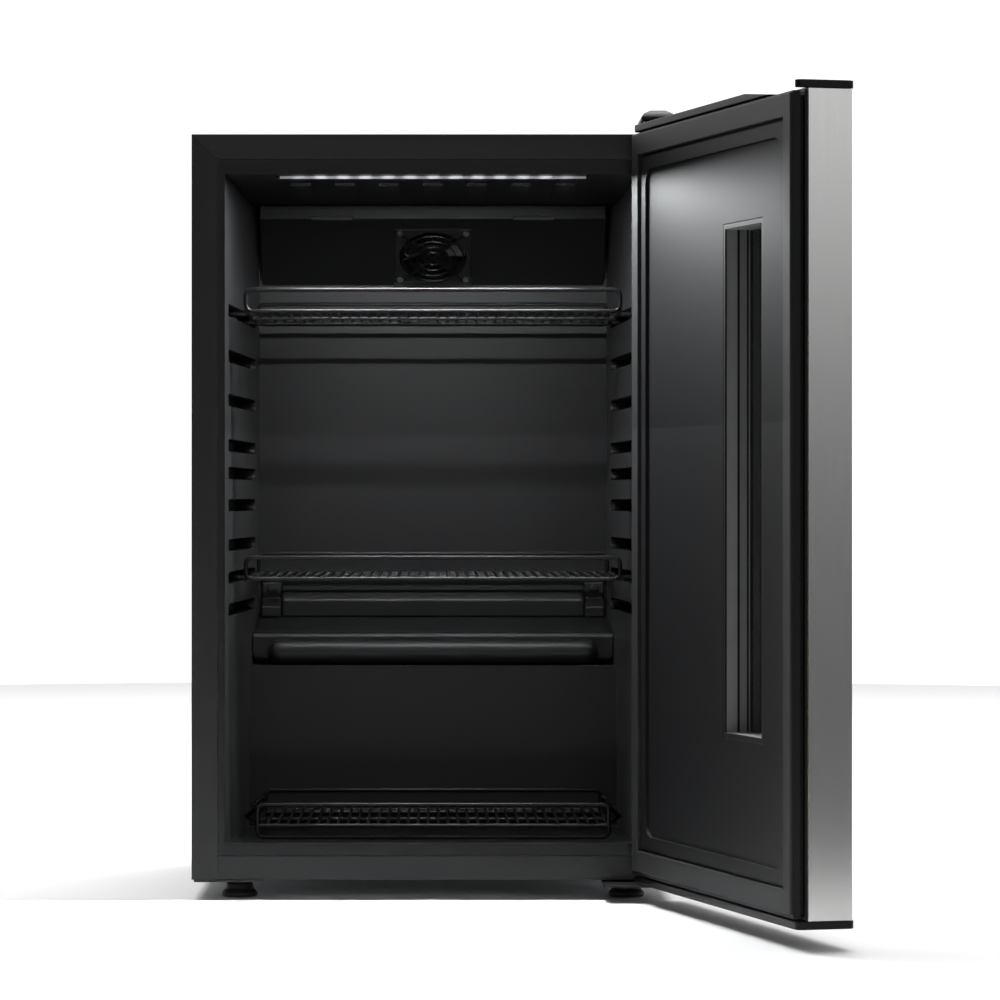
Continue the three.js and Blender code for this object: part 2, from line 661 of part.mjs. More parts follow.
function condenserCoil() {
  const top = cabinetTop - 70;
  const pitch = (top - coilLow) / (coilRows - 1);
  const over = coilTube * 0.4;
  const parts = [];
  for (let i = 0; i < coilRows; i += 1) {
    const z = top - i * pitch;
    parts.push(bar([-coilHalf - over, coilY, z], [coilHalf + over, coilY, z], coilTube));
    if (i) {
      const x = (i % 2 ? 1 : -1) * coilHalf;
      parts.push(bar([x, coilY, z - over], [x, coilY, z + pitch + over], coilTube));
    }
  }
  for (const x of [-0.7 * coilHalf, 0.7 * coilHalf]) {
    parts.push(box(x - 8, x + 8, backY + sheet + gap * 2, coilY - coilTube / 2 + 0.6,
      top - (coilRows - 1) * pitch - 12, top + 12));
  }
  return join(parts);
}

place('compressor', compressor(), 'blackSteel');
place('terminal_box', terminalBox(), 'blackPlastic');
place('power_inlet', powerInlet(), 'blackPlastic');
place('condenser_coil', condenserCoil(), 'blackSteel');

// ---------------------------------------------------------------- door, drawn shut about its hinge axis
// p runs along the door's width from the hinge axis, q towards the cabinet.
const toP = (x) => x - hingeX;
const toQ = (y) => y + hingeSetback;
const doorP0 = toP(-halfWidth + doorSideClear);
const doorP1 = toP(halfWidth - doorSideClear);
const skinFront = toQ(-doorThickness);
const skinBack = skinFront + skinReturn;
const gasketFace = toQ(-gasketGap);
const gasketBack = gasketFace - gasketThickness;
const panelFace = gasketFace - gasketProud;
const panelBack = skinBack + gap;
const panelBase = panelBack + 2.5; // flange behind the channel round the door's edge
const panelLip = panelFace - 6.5; // back of the lip in front of that channel
const skinSheet = 1;
const windowP0 = toP(windowLeft);
const windowP1 = toP(windowRight);
const bushWall = 2.2;
const bushLength = 22;
const bushHole = hingePin + pinClear + bushWall + gap;
// The hinge side's corners swing round the axis, so they stay inside the circle that touches the cabinet's front.
const swingEdge = (q) => Math.sqrt(hingeSetback ** 2 - q ** 2) - gap;
const gasketP0 = doorP0 + gasketInset;
const gasketP1 = swingEdge(gasketFace) + gasketBevel;
const gasketZ0 = doorBottomZ + 6;
const gasketZ1 = doorTopZ - 4;
const bandWidth = 15.5; // raised border of the inner panel, inside the gasket
const bandDrop = 1;
const grooveWidth = 2.5; // groove between gasket and border
const recessDrop = 4.5;
const gripP0 = doorP0 + 6;
const gripP1 = gripP0 + 136;
const gripSlope = 120;
const gripDepth = 9;
const gripFloor = capTop - gripDepth - 3;
const gripQ0 = -12;

function doorSkin() {
  const tray = box(doorP0, doorP1, skinFront, skinBack, doorBottomZ + gap, doorTopZ - gap);
  const inside = box(doorP0 + skinSheet, doorP1 - skinSheet, skinFront + skinSheet, skinBack + 1, 0, cabinetTop + 20);
  const hole = box(windowP0, windowP1, skinFront - 1, skinFront + 5, windowBottom, windowTop);
  return tray.subtract(inside).subtract(hole);
}

function windowHole(extra) {
  return box(windowP0 - extra, windowP1 + extra, skinFront - 5, gasketFace + 5, windowBottom - extra,
    windowTop + extra);
}

function bushHoles() {
  const low = post(0, 0, bushHole, doorBottomZ - 20, doorBottomZ - capHeight + bushLength + 1, 16);
  const high = post(0, 0, bushHole, doorTopZ + capHeight - bushLength - 1, doorTopZ + 20, 16);
  return low.add(high);
}

function gripTray(extra) {
  return box(gripP0 - 3 - extra, gripP1 + 4 + extra, gripQ0 - 4 - extra, panelBack - gap + extra,
    gripFloor - 5 - extra, doorTopZ + 1);
}

function doorFoam() {
  const inset = skinSheet + gap;
  return box(doorP0 + inset, doorP1 - inset, skinFront + inset, panelBack - gap, doorBottomZ + gap * 2,
    doorTopZ - gap * 2).subtract(windowHole(0)).subtract(bushHoles()).subtract(gripTray(gap));
}

function doorPanel() {
  const slab = (inset, q0, q1, p1) => box(doorP0 + inset, p1, q0, q1, doorBottomZ + inset, doorTopZ - inset);
  const plate = join([
    slab(1.5, panelBack, panelBase, doorP1 - 1.5),
    slab(6, panelBase - 1, panelLip + 1, doorP1 - 6),
    slab(2.5, panelLip, panelFace, swingEdge(panelFace)),
  ]);
  const seat = box(gasketP0 - gap, gasketP1 + gap, gasketBack - gap, panelFace + 5, gasketZ0 - gap,
    gasketZ1 + gap);
  const inner = [gasketP0 + gasketSide, gasketP1 - gasketSide, gasketZ0 + gasketEnd, gasketZ1 - gasketEnd];
  const border = box(inner[0] + grooveWidth, inner[1] - grooveWidth, panelBack, panelFace - bandDrop,
    inner[2] + grooveWidth, inner[3] - grooveWidth);
  const recess = along(rounded(inner[0] + bandWidth, inner[1] - bandWidth, inner[2] + bandWidth,
    inner[3] - bandWidth, 16, 4), panelFace - recessDrop, panelFace + 5);
  return plate.subtract(seat).add(border).subtract(recess).subtract(windowHole(0)).subtract(bushHoles());
}

function doorGasket() {
  const depth = [gasketBack, gasketFace];
  const b = gasketBevel;
  const outer = upright([
    [gasketP0, depth[0]], [gasketP1, depth[0]], [gasketP1, depth[1] - b], [gasketP1 - b, depth[1]],
    [gasketP0 + b, depth[1]], [gasketP0, depth[1] - b],
  ], gasketZ0, gasketZ1);
  return outer.subtract(box(gasketP0 + gasketSide, gasketP1 - gasketSide, depth[0] - 1, depth[1] + 1,
    gasketZ0 + gasketEnd, gasketZ1 - gasketEnd));
}

function capPlan(grow = 0) {
  const q0 = skinFront - capOverhang;
  return rounded(doorP0 - grow, doorP1 + grow, q0 - grow, q0 + capDepth + grow, 6, 3);
}

function topCap() {
  const plate = upright(capPlan(), doorTopZ, capTop);
  const q1 = skinFront - capOverhang + capDepth;
  const scoopOutline = [
    [gripP0, gripFloor], [gripP1 - gripSlope, gripFloor], [gripP1, capTop], [gripP1, capTop + 2],
    [gripP0, capTop + 2],
  ];
  const scoop = along(scoopOutline, gripQ0, q1 + 1);
  return plate.add(gripTray(0)).subtract(scoop).subtract(bushHoles());
}

function bottomCap() {
  const lugs = [[-98, -82], [doorP0 + 80, doorP0 + 96]].map(([p0, p1]) => box(p0, p1, skinFront + 8, skinFront + 26,
    capBottom - 5.5, capBottom + 1));
  return join([upright(capPlan(), capBottom, doorBottomZ), ...lugs]).subtract(bushHoles());
}

function pane(q0) {
  const inset = windowFrame + gap;
  return box(windowP0 + inset, windowP1 - inset, q0, q0 + glass, windowBottom + inset, windowTop - inset);
}

function glazingFrame() {
  const outer = box(windowP0 + gap, windowP1 - gap, skinFront + skinSheet, panelFace - recessDrop - gap,
    windowBottom + gap, windowTop - gap);
  return outer.subtract(box(windowP0 + windowFrame, windowP1 - windowFrame, skinFront - 5, panelFace + 5,
    windowBottom + windowFrame, windowTop - windowFrame));
}

function bush(z0) {
  const hole = post(0, 0, hingePin + pinClear, z0 - 1, z0 + bushLength + 1, 16);
  return post(0, 0, bushHole - gap, z0, z0 + bushLength, 16).subtract(hole);
}

place('door_skin', doorSkin(), 'stainless', door);
place('door_foam', doorFoam(), 'foam', door);
place('door_panel', doorPanel(), 'blackPlastic', door);
place('door_gasket', doorGasket(), 'greyGasket', door);
place('top_cap', topCap(), 'blackPlastic', door);
place('bottom_cap', bottomCap(), 'blackPlastic', door);
place('glazing_frame', glazingFrame(), 'blackPlastic', door);
place('outer_glass', pane(panelFace - recessDrop - outerPaneDepth), 'glass', door);
place('inner_glass', pane(panelFace - recessDrop - innerPaneDepth), 'glass', door);
place('lower_bush', bush(doorBottomZ - capHeight), 'blackPlastic', door);
place('upper_bush', bush(capTop - bushLength), 'blackPlastic', door);

// ---------------------------------------------------------------- wire shelves
const crossBarShares = [0.4375, 0.828125]; // of the shelf's depth

function wireShelf(level) {
  const z = level - 1;
  const top = z + shelfFence;
  const runner = slotBottomX - runnerClear;
  const half = shelfHalfWidth;
  const corner = 4;
  const parts = [];
  for (const y of [shelfFront, shelfBack]) {
    parts.push(bentWire([
      [-half, y, z], [-half, y, top - corner], [-half + corner, y, top], [half - corner, y, top],
      [half, y, top - corner], [half, y, z],
    ], rail));
    parts.push(crossBar(half, y, z + rail / 2 - 0.8));
  }
  for (const side of [-1, 1]) {
    parts.push(bentWire([
      [side * (half - 1), runnerFront, z], [side * (runner - 1), runnerFront, z], [side * runner, runnerFront + 4, z],
      [side * runner, slotBack - 10, z], [side * (half - 1), slotBack - 10, z],
    ], rail));
    parts.push(bar([side * half, shelfFront, z], [side * half, shelfBack, z], rail));
  }
  for (const share of crossBarShares) {
    parts.push(crossBar(half, shelfFront + share * (shelfBack - shelfFront), z));
  }
  return floorWires(parts, half, shelfFront, shelfBack, z);
}

// A square bar from side to side, under the floor wires.
function crossBar(half, y, z) {
  return box(-half, half, y - rail / 2, y + rail / 2, z + 0.8 - rail, z + 0.8);
}

// Lays the floor wires from front to back, with their ends on the frame.
function floorWires(parts, half, front, back, z) {
  const count = Math.round((2 * half) / wirePitch) - 1;
  const step = (2 * half) / (count + 1);
  const wires = [];
  for (let i = 1; i <= count; i += 1) {
    const x = -half + i * step;
    wires.push(along([[x, z + wire * 0.1], [x + wire / 2, z + wire], [x - wire / 2, z + wire]], front, back));
  }
  return join([...parts, ...wires]);
}

function bottomRack() {
  const frameTop = floorZ + 38;
  const floor = floorZ + 17;
  const low = floorZ + 5.5;
  const half = rackHalfWidth;
  const flare = half + rackFlare;
  const c = 5;
  const middle = (rackFront + rackBack) / 2;
  const parts = [bentWire([
    [-half + c, rackFront, low], [half - c, rackFront, low], [half, rackFront, low + c],
    [half, rackFront, frameTop - c], [half - c, rackFront, frameTop], [-half + c, rackFront, frameTop],
    [-half, rackFront, frameTop - c], [-half, rackFront, low + c],
  ], rail, true)];
  parts.push(bentWire([
    [-half, rackBack, low], [-half, rackBack, frameTop - c], [-half + c, rackBack, frameTop],
    [half - c, rackBack, frameTop], [half, rackBack, frameTop - c], [half, rackBack, low],
  ], rail, true));
  for (const side of [-1, 1]) {
    parts.push(bar([side * half, rackFront, floor], [side * half, rackBack, floor], rail));
    parts.push(bentWire([
      [side * half, rackFront + 30, frameTop - 4], [side * flare, rackFront + 42, floor + 6],
      [side * flare, rackBack - 42, floor + 6], [side * half, rackBack - 30, frameTop - 4],
    ], rail));
    for (const y of [rackFront + 30, rackBack - 30]) {
      parts.push(bar([side * half, y, floor], [side * half, y, frameTop - 3], rail));
      parts.push(bar([side * half, y, floor], [side * (flare - 1), y + Math.sign(middle - y) * 12, floor + 6], rail));
    }
  }
  parts.push(crossBar(half, rackFront, floor + rail / 2 - 0.8));
  for (const y of [rackBack - 112, rackBack - 15]) {
    parts.push(crossBar(half, y, floor));
  }
  parts.push(crossBar(half, rackBack, floor + rail / 2 - 0.8));
  return floorWires(parts, half, rackFront, rackBack, floor);
}

place('top_shelf', wireShelf(slotLevels[shelfSlots[0]]), 'wire');
place('middle_shelf', wireShelf(slotLevels[shelfSlots[1]]), 'wire');
place('bottom_rack', bottomRack(), 'wire');

// ---------------------------------------------------------------- origin at the middle of the base
const bounds = new THREE.Box3().setFromObject(model);
const middle = bounds.getCenter(new THREE.Vector3());
model.position.set(-middle.x, -middle.y, -bounds.min.z);

export default model;
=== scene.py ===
"""Looks of a compact fridge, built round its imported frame. Metres, +Z up, and the doorway faces -Y."""
import json
import math

import bmesh
import bpy
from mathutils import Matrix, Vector


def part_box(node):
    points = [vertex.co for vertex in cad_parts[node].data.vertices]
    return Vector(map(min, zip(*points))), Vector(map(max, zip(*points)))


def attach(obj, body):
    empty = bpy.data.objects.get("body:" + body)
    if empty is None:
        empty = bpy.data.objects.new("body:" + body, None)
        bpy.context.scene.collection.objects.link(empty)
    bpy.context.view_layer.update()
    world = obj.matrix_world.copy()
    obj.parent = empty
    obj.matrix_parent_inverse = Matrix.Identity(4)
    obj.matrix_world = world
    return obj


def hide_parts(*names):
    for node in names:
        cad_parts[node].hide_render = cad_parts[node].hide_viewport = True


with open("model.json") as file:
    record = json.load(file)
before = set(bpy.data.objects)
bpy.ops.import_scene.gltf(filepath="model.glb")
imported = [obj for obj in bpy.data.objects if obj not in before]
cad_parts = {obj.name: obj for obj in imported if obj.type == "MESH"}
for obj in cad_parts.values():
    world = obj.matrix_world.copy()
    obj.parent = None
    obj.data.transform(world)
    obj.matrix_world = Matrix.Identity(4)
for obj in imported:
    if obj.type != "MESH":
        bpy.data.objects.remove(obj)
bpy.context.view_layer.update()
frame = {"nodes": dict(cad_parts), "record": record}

MM = 0.001
SMOOTH_BEVELS = 40   # degrees, the sharpest edge that is shaded as one surface
SMOOTH_WIRES = 60
BEVEL_FROM = 28      # degrees, the bluntest edge that is rounded over
SAME_PLANE = 0.6     # degrees, faces nearer to level than this are joined
body_of_node = {n: b for b, ns in frame["record"]["behaviour"]["bodies"].items() for n in ns}

shell_low, shell_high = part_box("outer_shell")
centre_x = (shell_low.x + shell_high.x) / 2
front_y = shell_low.y
door_joint = frame["record"]["behaviour"]["joints"][0]
door_turn = math.radians(abs(door_joint["range_deg"][0]))  # how far the door stands open
INTO_CABINET = Vector((-math.sin(door_turn), math.cos(door_turn), 0))  # from the door's front to its inner face
panel_recess = max(INTO_CABINET.dot(v.co) for v in frame["nodes"]["glazing_frame"].data.vertices)


# ---------------------------------------------------------------- materials
def new_material(name):
    material = bpy.data.materials.new(name)
    material.use_nodes = True
    nodes = material.node_tree.nodes
    return material, nodes, material.node_tree.links, nodes["Principled BSDF"]


def surface(name, colour, rough, metallic=0.0, scale=60.0, stretch=(1, 1, 1), vary=0.15, rough_vary=0.1,
            bump=0.1, bump_distance=0.0002, fine_scale=900.0, wear=0.0, specular=0.5, sheen=0.0):
    """A surface whose colour, roughness and height vary with two scales of noise, with paler worn edges."""
    material, nodes, links, shader = new_material(name)
    place = nodes.new("ShaderNodeTexCoord")
    mapping = nodes.new("ShaderNodeMapping")
    mapping.inputs["Scale"].default_value = stretch
    links.new(place.outputs["Object"], mapping.inputs["Vector"])
    broad = nodes.new("ShaderNodeTexNoise")
    broad.inputs["Scale"].default_value = scale
    broad.inputs["Detail"].default_value = 6
    links.new(mapping.outputs["Vector"], broad.inputs["Vector"])
    fine = nodes.new("ShaderNodeTexNoise")
    fine.inputs["Scale"].default_value = fine_scale
    fine.inputs["Detail"].default_value = 3
    links.new(mapping.outputs["Vector"], fine.inputs["Vector"])

    tint = nodes.new("ShaderNodeMapRange")
    tint.inputs["To Min"].default_value = 1 - vary
    tint.inputs["To Max"].default_value = 1 + vary
    links.new(broad.outputs["Fac"], tint.inputs["Value"])
    shade = nodes.new("ShaderNodeVectorMath")
    shade.operation = "SCALE"
    shade.inputs[0].default_value = colour[:3]
    links.new(tint.outputs["Result"], shade.inputs["Scale"])
    colour_out = shade.outputs["Vector"]
    if wear:
        geometry = nodes.new("ShaderNodeNewGeometry")
        edge = nodes.new("ShaderNodeMapRange")
        edge.inputs["From Min"].default_value = 0.52
        edge.inputs["From Max"].default_value = 0.62
        edge.inputs["To Max"].default_value = wear
        links.new(geometry.outputs["Pointiness"], edge.inputs["Value"])
        worn = nodes.new("ShaderNodeMix")
        worn.data_type = "RGBA"
        worn.inputs["B"].default_value = tuple(min(1, c * 2.5 + 0.05) for c in colour[:3]) + (1,)
        links.new(edge.outputs["Result"], worn.inputs["Factor"])
        links.new(colour_out, worn.inputs["A"])
        colour_out = worn.outputs["Result"]
    links.new(colour_out, shader.inputs["Base Color"])

    polish = nodes.new("ShaderNodeMapRange")
    polish.inputs["To Min"].default_value = max(0.02, rough - rough_vary)
    polish.inputs["To Max"].default_value = min(1, rough + rough_vary)
    links.new(fine.outputs["Fac"], polish.inputs["Value"])
    links.new(polish.outputs["Result"], shader.inputs["Roughness"])

    height = nodes.new("ShaderNodeBump")
    height.inputs["Strength"].default_value = bump
    height.inputs["Distance"].default_value = bump_distance
    links.new(fine.outputs["Fac"], height.inputs["Height"])
    links.new(height.outputs["Normal"], shader.inputs["Normal"])
    shader.inputs["Metallic"].default_value = metallic
    shader.inputs["Specular IOR Level"].default_value = specular
    shader.inputs["Sheen Weight"].default_value = sheen
    shader.inputs["Sheen Roughness"].default_value = 0.4
    return material


def glass_material(name, tint, cover, rough):
    """A thin pane: light passes straight through, and a share of it is dimmed, with faint smears."""
    material, nodes, links, shader = new_material(name)
    shader.inputs["Base Color"].default_value = (*tint, 1)
    shader.inputs["Alpha"].default_value = cover
    shader.inputs["Specular IOR Level"].default_value = 0.35
    place = nodes.new("ShaderNodeTexCoord")
    smear = nodes.new("ShaderNodeTexNoise")
    smear.inputs["Scale"].default_value = 14
    smear.inputs["Detail"].default_value = 5
    links.new(place.outputs["Object"], smear.inputs["Vector"])
    haze = map_range(nodes, links, smear.outputs["Fac"], 0.4, 0.8, rough, rough + 0.05)
    links.new(haze, shader.inputs["Roughness"])
    return material


def reveal_material(name, colour, band_colour, face, dark_bands):
    """The lining of the window: pale stretches between dark bands, at given depths behind the inner face."""
    material = surface(name, colour, 0.5, scale=60, fine_scale=1800, vary=0.12, bump=0.15, bump_distance=0.00005,
                       specular=0.3)
    nodes, links = material.node_tree.nodes, material.node_tree.links
    shader = nodes["Principled BSDF"]
    base = shader.inputs["Base Color"].links[0].from_socket
    place = nodes.new("ShaderNodeTexCoord")
    depth = nodes.new("ShaderNodeVectorMath")
    depth.operation = "DOT_PRODUCT"
    depth.inputs[1].default_value = INTO_CABINET
    links.new(place.outputs["Object"], depth.inputs[0])
    behind = math_node(nodes, links, "SUBTRACT", face, depth.outputs["Value"])
    dark = None
    soft_edge = 0.4 * MM
    # darken the lining in a band at each given depth, with soft edges
    for start, end in dark_bands:
        half = (end - start) / 2 * MM
        offset = math_node(nodes, links, "SUBTRACT", behind, (start + end) / 2 * MM)
        distance = math_node(nodes, links, "ABSOLUTE", offset)
        near = map_range(nodes, links, distance, half, half + soft_edge, 1, 0)
        dark = near if dark is None else math_node(nodes, links, "MAXIMUM", dark, near)
    mix = nodes.new("ShaderNodeMix")
    mix.data_type = "RGBA"
    mix.inputs["B"].default_value = (*band_colour, 1)
    links.new(dark, mix.inputs["Factor"])
    links.new(base, mix.inputs["A"])
    links.new(mix.outputs["Result"], shader.inputs["Base Color"])
    return material


def light_material(name, colour, low, high, middle, half, pitch):
    """A milky strip that glows in a row of soft spots along X and fades towards its ends."""
    material, nodes, links, shader = new_material(name)
    shader.inputs["Base Color"].default_value = (0.7, 0.72, 0.74, 1)
    shader.inputs["Roughness"].default_value = 0.35
    shader.inputs["Emission Color"].default_value = (*colour, 1)
    place = nodes.new("ShaderNodeTexCoord")
    split = nodes.new("ShaderNodeSeparateXYZ")
    links.new(place.outputs["Object"], split.inputs["Vector"])
    along = math_node(nodes, links, "SUBTRACT", split.outputs["X"], middle)
    wave = math_node(nodes, links, "COSINE", math_node(nodes, links, "MULTIPLY", along, math.tau / pitch))
    spot = map_range(nodes, links, wave, -1, 1, low, high)
    reach = math_node(nodes, links, "ABSOLUTE", along)
    fade = map_range(nodes, links, reach, half * 0.72, half, 1, 0.12)
    noise = nodes.new("ShaderNodeTexNoise")
    noise.inputs["Scale"].default_value = 300
    links.new(place.outputs["Object"], noise.inputs["Vector"])
    grain = map_range(nodes, links, noise.outputs["Fac"], 0, 1, 0.9, 1.1)
    glow = math_node(nodes, links, "MULTIPLY", math_node(nodes, links, "MULTIPLY", spot, fade), grain)
    links.new(glow, shader.inputs["Emission Strength"])
    return material


def math_node(nodes, links, operation, first, second=None):
    node = nodes.new("ShaderNodeMath")
    node.operation = operation
    for socket, value in zip(node.inputs, (first, second)):
        if value is None:
            continue
        if isinstance(value, (int, float)):
            socket.default_value = value
        else:
            links.new(value, socket)
    return node.outputs["Value"]


def map_range(nodes, links, value, low, high, to_low, to_high):
    node = nodes.new("ShaderNodeMapRange")
    node.interpolation_type = "SMOOTHSTEP"
    for name, number in (("From Min", low), ("From Max", high), ("To Min", to_low), ("To Max", to_high)):
        node.inputs[name].default_value = number
    links.new(value, node.inputs["Value"])
    return node.outputs["Result"]


black_steel = surface("black_steel_paint", (0.011, 0.011, 0.0115), 0.42, scale=9, fine_scale=1400, vary=0.12,
                      rough_vary=0.06, bump=0.25, bump_distance=0.00006, wear=0.15, specular=0.3)
liner_plastic = surface("liner_plastic", (0.0075, 0.0075, 0.008), 0.42, scale=12, fine_scale=1600, vary=0.1,
                        rough_vary=0.08, bump=0.2, bump_distance=0.00006, wear=0.08, specular=0.25, sheen=0.015)
black_plastic = surface("black_plastic", (0.005, 0.005, 0.0055), 0.45, scale=25, fine_scale=2200, vary=0.12,
                        rough_vary=0.08, bump=0.3, bump_distance=0.00005, wear=0.12, specular=0.2)
panel_plastic = surface("door_panel_plastic", (0.0055, 0.0055, 0.006), 0.5, scale=10, fine_scale=1600, vary=0.08,
                        rough_vary=0.06, bump=0.2, bump_distance=0.00005, wear=0.05, specular=0.2)
gasket_rubber = surface("gasket_rubber", (0.011, 0.011, 0.0115), 0.55, scale=40, fine_scale=2400, vary=0.1,
                        rough_vary=0.08, bump=0.3, bump_distance=0.00006, wear=0.08, specular=0.4)
foot_rubber = surface("foot_rubber", (0.010, 0.010, 0.0105), 0.55, scale=60, fine_scale=1800, vary=0.2,
                      bump=0.4, bump_distance=0.0001, wear=0.15, specular=0.3)
wire_coating = surface("wire_coating", (0.004, 0.004, 0.0045), 0.32, scale=90, fine_scale=1500, vary=0.2,
                       rough_vary=0.08, bump=0.05, bump_distance=0.00002, specular=0.2)
stainless = surface("brushed_stainless", (0.68, 0.68, 0.675), 0.24, metallic=1, scale=400, stretch=(1, 1, 0.006),
                    fine_scale=2600, vary=0.03, rough_vary=0.05, bump=0.12, bump_distance=0.00002)
zinc = surface("zinc_plate", (0.42, 0.43, 0.45), 0.38, metallic=1, scale=80, fine_scale=900, vary=0.15,
               rough_vary=0.12, bump=0.2, bump_distance=0.00005)
foam_skin = surface("foam_skin", (0.62, 0.52, 0.30), 0.9, scale=120, fine_scale=1200, vary=0.2, bump=0.5,
                    bump_distance=0.0004)
clear_glass = glass_material("window_glass", (0.01, 0.011, 0.011), 0.06, 0.03)
dark_glass = glass_material("outer_window_glass", (0.006, 0.006, 0.007), 0.72, 0.03)
# the lining is darkened in bands at these depths behind its inner face
window_lining = reveal_material("window_lining", (0.26, 0.26, 0.262), (0.003, 0.003, 0.003), panel_recess,
                                ((-1, 1.5), (12.2, 14.2), (21.5, 23)))
light_glow = light_material("light_diffuser_glow", (0.93, 0.97, 1.0), 0.06, 0.5, centre_x, 0.1525, 0.0224)


# ---------------------------------------------------------------- mesh helpers
def finished(obj, node, material, smooth_angle=35):
    """Gives a new piece its material and body, and lets it stand for its CAD node."""
    obj.data.materials.clear()
    obj.data.materials.append(material)
    if smooth_angle:
        shade_smooth(obj, smooth_angle)
    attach(obj, body_of_node[node])
    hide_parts(node)
    return obj


def shade_smooth(obj, angle):
    bpy.context.view_layer.objects.active = obj
    for other in bpy.context.selected_objects:
        other.select_set(False)
    obj.select_set(True)
    bpy.ops.object.shade_smooth_by_angle(angle=math.radians(angle))
    obj.select_set(False)


def object_from(bm, name):
    mesh = bpy.data.meshes.new(name)
    bm.to_mesh(mesh)
    bm.free()
    obj = bpy.data.objects.new(name, mesh)
    bpy.context.scene.collection.objects.link(obj)
    return obj


def applied(obj):
    """The object with its modifiers made part of its mesh."""
    bpy.context.view_layer.update()
    evaluated = obj.evaluated_get(bpy.context.evaluated_depsgraph_get())
    mesh = bpy.data.meshes.new_from_object(evaluated)
    old = obj.data
    obj.modifiers.clear()
    obj.data = mesh
    bpy.data.meshes.remove(old)
    return obj


def refined(node, material, width=1.0, segments=3, flat_faces=True):
    """The node's shape with its edges rounded over to a width in millimetres."""
    bm = bmesh.new()
    bm.from_mesh(frame["nodes"][node].data)
    bmesh.ops.remove_doubles(bm, verts=bm.verts, dist=1e-5)
    if flat_faces:
        bmesh.ops.dissolve_limit(bm, angle_limit=math.radians(SAME_PLANE), verts=bm.verts, edges=bm.edges)
    obj = object_from(bm, f"{node}_fine")
    bevel = obj.modifiers.new("edges", "BEVEL")
    bevel.width = width * MM
    bevel.segments = segments
    bevel.limit_method = "ANGLE"
    bevel.angle_limit = math.radians(BEVEL_FROM)
    bevel.miter_outer = "MITER_SHARP"
    applied(obj)
    shade_smooth(obj, SMOOTH_BEVELS)
    level = obj.modifiers.new("flat_faces", "WEIGHTED_NORMAL")
    level.weight = 100
    level.keep_sharp = True
    return finished(applied(obj), node, material, None)


def kept(node, material):
    """A node whose own shape stays, with a better material."""
    obj = frame["nodes"][node]
    obj.data.materials.clear()
    obj.data.materials.append(material)
    return obj


def tube(points, radius, name, closed=False, sides=12, corner=0.0, steps=4):
    """A round wire through points, with its corners rounded to a radius, as one mesh."""
    path = rounded_path([Vector(p) for p in points], corner, steps, closed)
    curve = bpy.data.curves.new(name, "CURVE")
    curve.dimensions = "3D"
    curve.bevel_depth = radius
    curve.bevel_resolution = max(1, sides // 4)
    curve.use_fill_caps = True
    spline = curve.splines.new("POLY")
    spline.points.add(len(path) - 1)
    for target, point in zip(spline.points, path):
        target.co = (*point, 1)
    spline.use_cyclic_u = closed
    holder = bpy.data.objects.new(name, curve)
    bpy.context.scene.collection.objects.link(holder)
    bpy.context.view_layer.update()
    mesh = bpy.data.meshes.new_from_object(holder.evaluated_get(bpy.context.evaluated_depsgraph_get()))
    bpy.data.objects.remove(holder)
    bpy.data.curves.remove(curve)
    obj = bpy.data.objects.new(name, mesh)
    bpy.context.scene.collection.objects.link(obj)
    return obj


def rounded_path(points, radius, steps, closed):
    if radius <= 0:
        return points
    out = []
    count = len(points)
    for i, point in enumerate(points):
        if not closed and i in (0, count - 1):
            out.append(point)
            continue
        before = points[i - 1] - point
        after = points[(i + 1) % count] - point
        reach = min(radius, before.length * 0.49, after.length * 0.49)
        start = point + before.normalized() * reach
        end = point + after.normalized() * reach
        for k in range(steps + 1):
            t = k / steps
            out.append(start * (1 - t) ** 2 + point * 2 * t * (1 - t) + end * t ** 2)
    return out


def merged(objects, name):
    """Several new meshes as one object."""
    bm = bmesh.new()
    for obj in objects:
        bm.from_mesh(obj.data)
        mesh = obj.data
        bpy.data.objects.remove(obj)
        bpy.data.meshes.remove(mesh)
    return object_from(bm, name)


def at(x, y, z):
    """A point from millimetres right of the cabinet's middle, behind its front and above the floor."""
    return Vector((centre_x + x * MM, front_y + y * MM, z * MM))


def inside(node):
    """A node's box in those millimetres."""
    low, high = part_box(node)
    return [((c.x - centre_x) / MM, (c.y - front_y) / MM, c.z / MM) for c in (low, high)]


# ---------------------------------------------------------------- wire work
RAIL = 2.2          # radius of the frame wires, mm, as are the sizes below
FLOOR_WIRE = 1.5    # radius of the floor wires
WIRE_BEND = 7       # corner radius of the frame wires
WELD = 1.4          # how far a cross bar's middle sits under the frame's
WIRE_PAST = 0.4     # how far the floor wires pass the frame
SHELF_HALF = 188    # half width of a shelf's frame
SHELF_WIRES = 36
RUNNER_FRONT, RUNNER_BACK = 125, 335   # the loops that lie in the liner's slots
SHELF_BARS = (140, 265)                # cross bars behind the shelf's front
RUNNER_SHY = 2      # from a runner's middle to its outer side
SHELF_BASE = 3.6    # frame above the shelf's lowest point
RACK_HALF = 176.5
RACK_WIRES = 34
RACK_FLOOR = 11.5   # floor above the rack's lowest wire
RACK_BARS = (103, 200)
ARM_FRONT, ARM_LEAN, ARM_RISE = 30, 12, 6   # the rack's flared side arms


def wire(points, radius=RAIL, **more):
    return tube([at(*p) for p in points], radius * MM, "wire", corner=WIRE_BEND * MM, **more)


def floor_wires(half, front, back, z, count):
    """Floor wires from front to back, a little past the frame at each end."""
    out = []
    for i in range(1, count + 1):
        x = -half + 2 * half * i / (count + 1)
        out.append(wire([(x, front - WIRE_PAST, z), (x, back + WIRE_PAST, z)], FLOOR_WIRE, sides=8))
    return out


def end_loops(half, front, back, low, top):
    """The upright loops at the front and the back."""
    return [wire([(-half, y, low), (-half, y, top), (half, y, top), (half, y, low)], closed=True)
            for y in (front, back)]


def cross_bars(half, front, z, places):
    return [wire([(-half, front + y, z - WELD), (half, front + y, z - WELD)]) for y in places]


